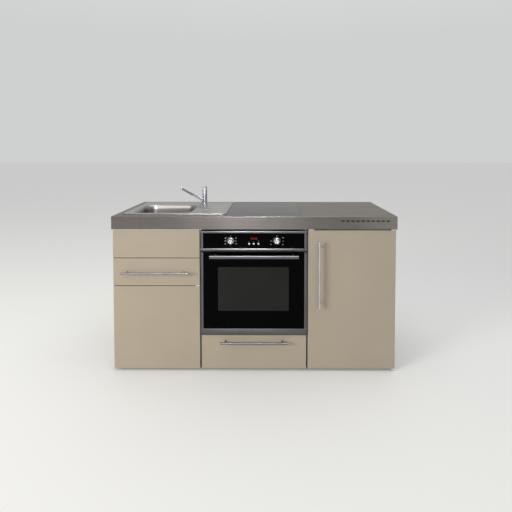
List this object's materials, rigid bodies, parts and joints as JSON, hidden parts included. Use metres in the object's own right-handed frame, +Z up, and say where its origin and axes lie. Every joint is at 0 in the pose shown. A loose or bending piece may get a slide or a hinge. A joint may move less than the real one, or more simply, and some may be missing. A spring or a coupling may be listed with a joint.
{
  "type": "kitchenette",
  "caption": "Kitchenette unit: folded steel worktop with inset sink, mixer tap and flush hob over a sink cupboard, a built-in oven above a drawer, and an under-counter fridge.",
  "frame": {"origin": "on the floor under the middle of the unit's outline", "axes": "+X right along the worktop, +Y back towards the wall, +Z up"},
  "size_m": [1.6, 0.646, 1.006],
  "materials": {
    "brushed_sheet": "satin",
    "chrome_plate": "polished",
    "brushed_bar": "satin",
    "waste_plastic": "matte",
    "brass_fitting": "satin",
    "black_glass": "gloss",
    "zinc_sheet": "satin",
    "carcass_board": "matte",
    "front_lacquer": "satin",
    "foot_plastic": "matte",
    "oven_enamel": "gloss",
    "seal_rubber": "matte",
    "fridge_paint": "satin",
    "fridge_plastic": "satin",
    "foam": "matte",
    "evaporator_sheet": "satin",
    "shelf_glass": "gloss",
    "clear_plastic": "gloss",
    "black_paint": "satin",
    "door_seal": "matte"
  },
  "bodies": {
    "cabinet": {"worktop": "brushed_sheet", "sink": "brushed_sheet", "sink_waste": "chrome_plate", "sink_trap": "waste_plastic", "tap_body": "chrome_plate", "tap_shank": "brass_fitting", "hob_glass": "black_glass", "hob_case": "zinc_sheet", "side_panels": "carcass_board", "dividers": "carcass_board", "cross_rails": "carcass_board", "cabinet_floors": "carcass_board", "back_panels": "carcass_board", "sink_fascia": "front_lacquer", "feet": "foot_plastic", "drawer_rails": "zinc_sheet", "hinge_brackets": "zinc_sheet", "oven_case": "zinc_sheet", "oven_cavity": "oven_enamel", "control_frame": "brushed_bar", "control_glass": "black_glass", "oven_rack": "chrome_plate", "baking_tray": "oven_enamel", "grill_element": "zinc_sheet", "fan_cover": "oven_enamel", "fan_motor": "zinc_sheet", "oven_door_seal": "seal_rubber", "fridge_case": "fridge_paint", "fridge_foam": "foam", "fridge_liner": "fridge_plastic", "freezer_box": "evaporator_sheet", "fridge_shelves": "shelf_glass", "crisper": "clear_plastic", "cooling_circuit": "black_paint"},
    "drawer": {"drawer_front": "front_lacquer", "drawer_box": "zinc_sheet", "drawer_handle": "brushed_bar"},
    "cupboard_door": {"cupboard_door": "front_lacquer"},
    "oven_door": {"oven_door_frame": "brushed_bar", "oven_door_glass": "black_glass", "oven_inner_glass": "black_glass", "oven_door_handle": "brushed_bar"},
    "low_drawer": {"low_drawer_front": "front_lacquer", "low_drawer_box": "zinc_sheet", "low_drawer_handle": "brushed_bar"},
    "fridge_door": {"fridge_door_panel": "front_lacquer", "fridge_door_liner": "fridge_plastic", "fridge_door_seal": "door_seal", "fridge_door_handle": "brushed_bar"},
    "function_knob": {"function_knob": "chrome_plate"},
    "temperature_knob": {"temperature_knob": "chrome_plate"},
    "button_left": {"button_left": "chrome_plate"},
    "button_middle": {"button_middle": "chrome_plate"},
    "button_right": {"button_right": "chrome_plate"},
    "tap_spout": {"tap_spout": "chrome_plate"},
    "tap_cap": {"tap_cap": "chrome_plate"},
    "tap_lever": {"tap_lever": "chrome_plate"},
    "convection_fan": {"convection_fan": "evaporator_sheet"},
    "thermostat_dial": {"thermostat_dial": "fridge_plastic"},
    "sink_strainer": {"sink_strainer": "chrome_plate"}
  },
  "joints": [
    {"name": "drawer_slide", "type": "slide", "parent": "cabinet", "child": "drawer", "axis": [0, -1, 0], "range_m": [0, 0.3]},
    {"name": "low_drawer_slide", "type": "slide", "parent": "cabinet", "child": "low_drawer", "axis": [0, -1, 0], "range_m": [0, 0.3]},
    {"name": "cupboard_hinge", "type": "hinge", "parent": "cabinet", "child": "cupboard_door", "pos_m": [-0.314, -0.264, 0.014], "axis": [0, 0, 1], "range_deg": [0, 90]},
    {"name": "oven_door_hinge", "type": "hinge", "parent": "cabinet", "child": "oven_door", "pos_m": [-0.002, -0.269, 0.217], "axis": [1, 0, 0], "range_deg": [0, 90], "stiffness_Nm_per_rad": 4.5, "springref_deg": -63.03},
    {"name": "fridge_hinge", "type": "hinge", "parent": "cabinet", "child": "fridge_door", "pos_m": [0.786, -0.264, 0.014], "axis": [0, 0, 1], "range_deg": [0, 110]},
    {"name": "function_turn", "type": "hinge", "parent": "cabinet", "child": "function_knob", "pos_m": [-0.131, -0.277, 0.743], "axis": [0, 1, 0], "continuous": true},
    {"name": "temperature_turn", "type": "hinge", "parent": "cabinet", "child": "temperature_knob", "pos_m": [0.127, -0.277, 0.743], "axis": [0, 1, 0], "range_deg": [0, 280]},
    {"name": "button_left_press", "type": "slide", "parent": "cabinet", "child": "button_left", "axis": [0, 1, 0], "range_m": [0, 0.0015], "stiffness_N_per_m": 300, "springref_m": -0.002},
    {"name": "button_middle_press", "type": "slide", "parent": "cabinet", "child": "button_middle", "axis": [0, 1, 0], "range_m": [0, 0.0015], "stiffness_N_per_m": 300, "springref_m": -0.002},
    {"name": "button_right_press", "type": "slide", "parent": "cabinet", "child": "button_right", "axis": [0, 1, 0], "range_m": [0, 0.0015], "stiffness_N_per_m": 300, "springref_m": -0.002},
    {"name": "spout_turn", "type": "hinge", "parent": "cabinet", "child": "tap_spout", "pos_m": [-0.361, 0.255, 0.885], "axis": [0, 0, 1], "range_deg": [-42, 60]},
    {"name": "cap_turn", "type": "hinge", "parent": "cabinet", "child": "tap_cap", "pos_m": [-0.361, 0.255, 0.962], "axis": [0, 0, 1], "range_deg": [-50, 50]},
    {"name": "lever_lift", "type": "hinge", "parent": "tap_cap", "child": "tap_lever", "pos_m": [-0.361, 0.271, 0.994], "axis": [-1, 0, 0], "range_deg": [0, 18]},
    {"name": "fan_spin", "type": "hinge", "parent": "cabinet", "child": "convection_fan", "pos_m": [-0.002, 0.1685, 0.432], "axis": [0, 1, 0], "continuous": true},
    {"name": "dial_turn", "type": "hinge", "parent": "cabinet", "child": "thermostat_dial", "pos_m": [0.703, -0.108, 0.581], "axis": [-1, 0, 0], "range_deg": [0, 300]},
    {"name": "strainer_lift", "type": "slide", "parent": "cabinet", "child": "sink_strainer", "axis": [0, 0, 1], "range_m": [0, 0.03]}
  ]
}
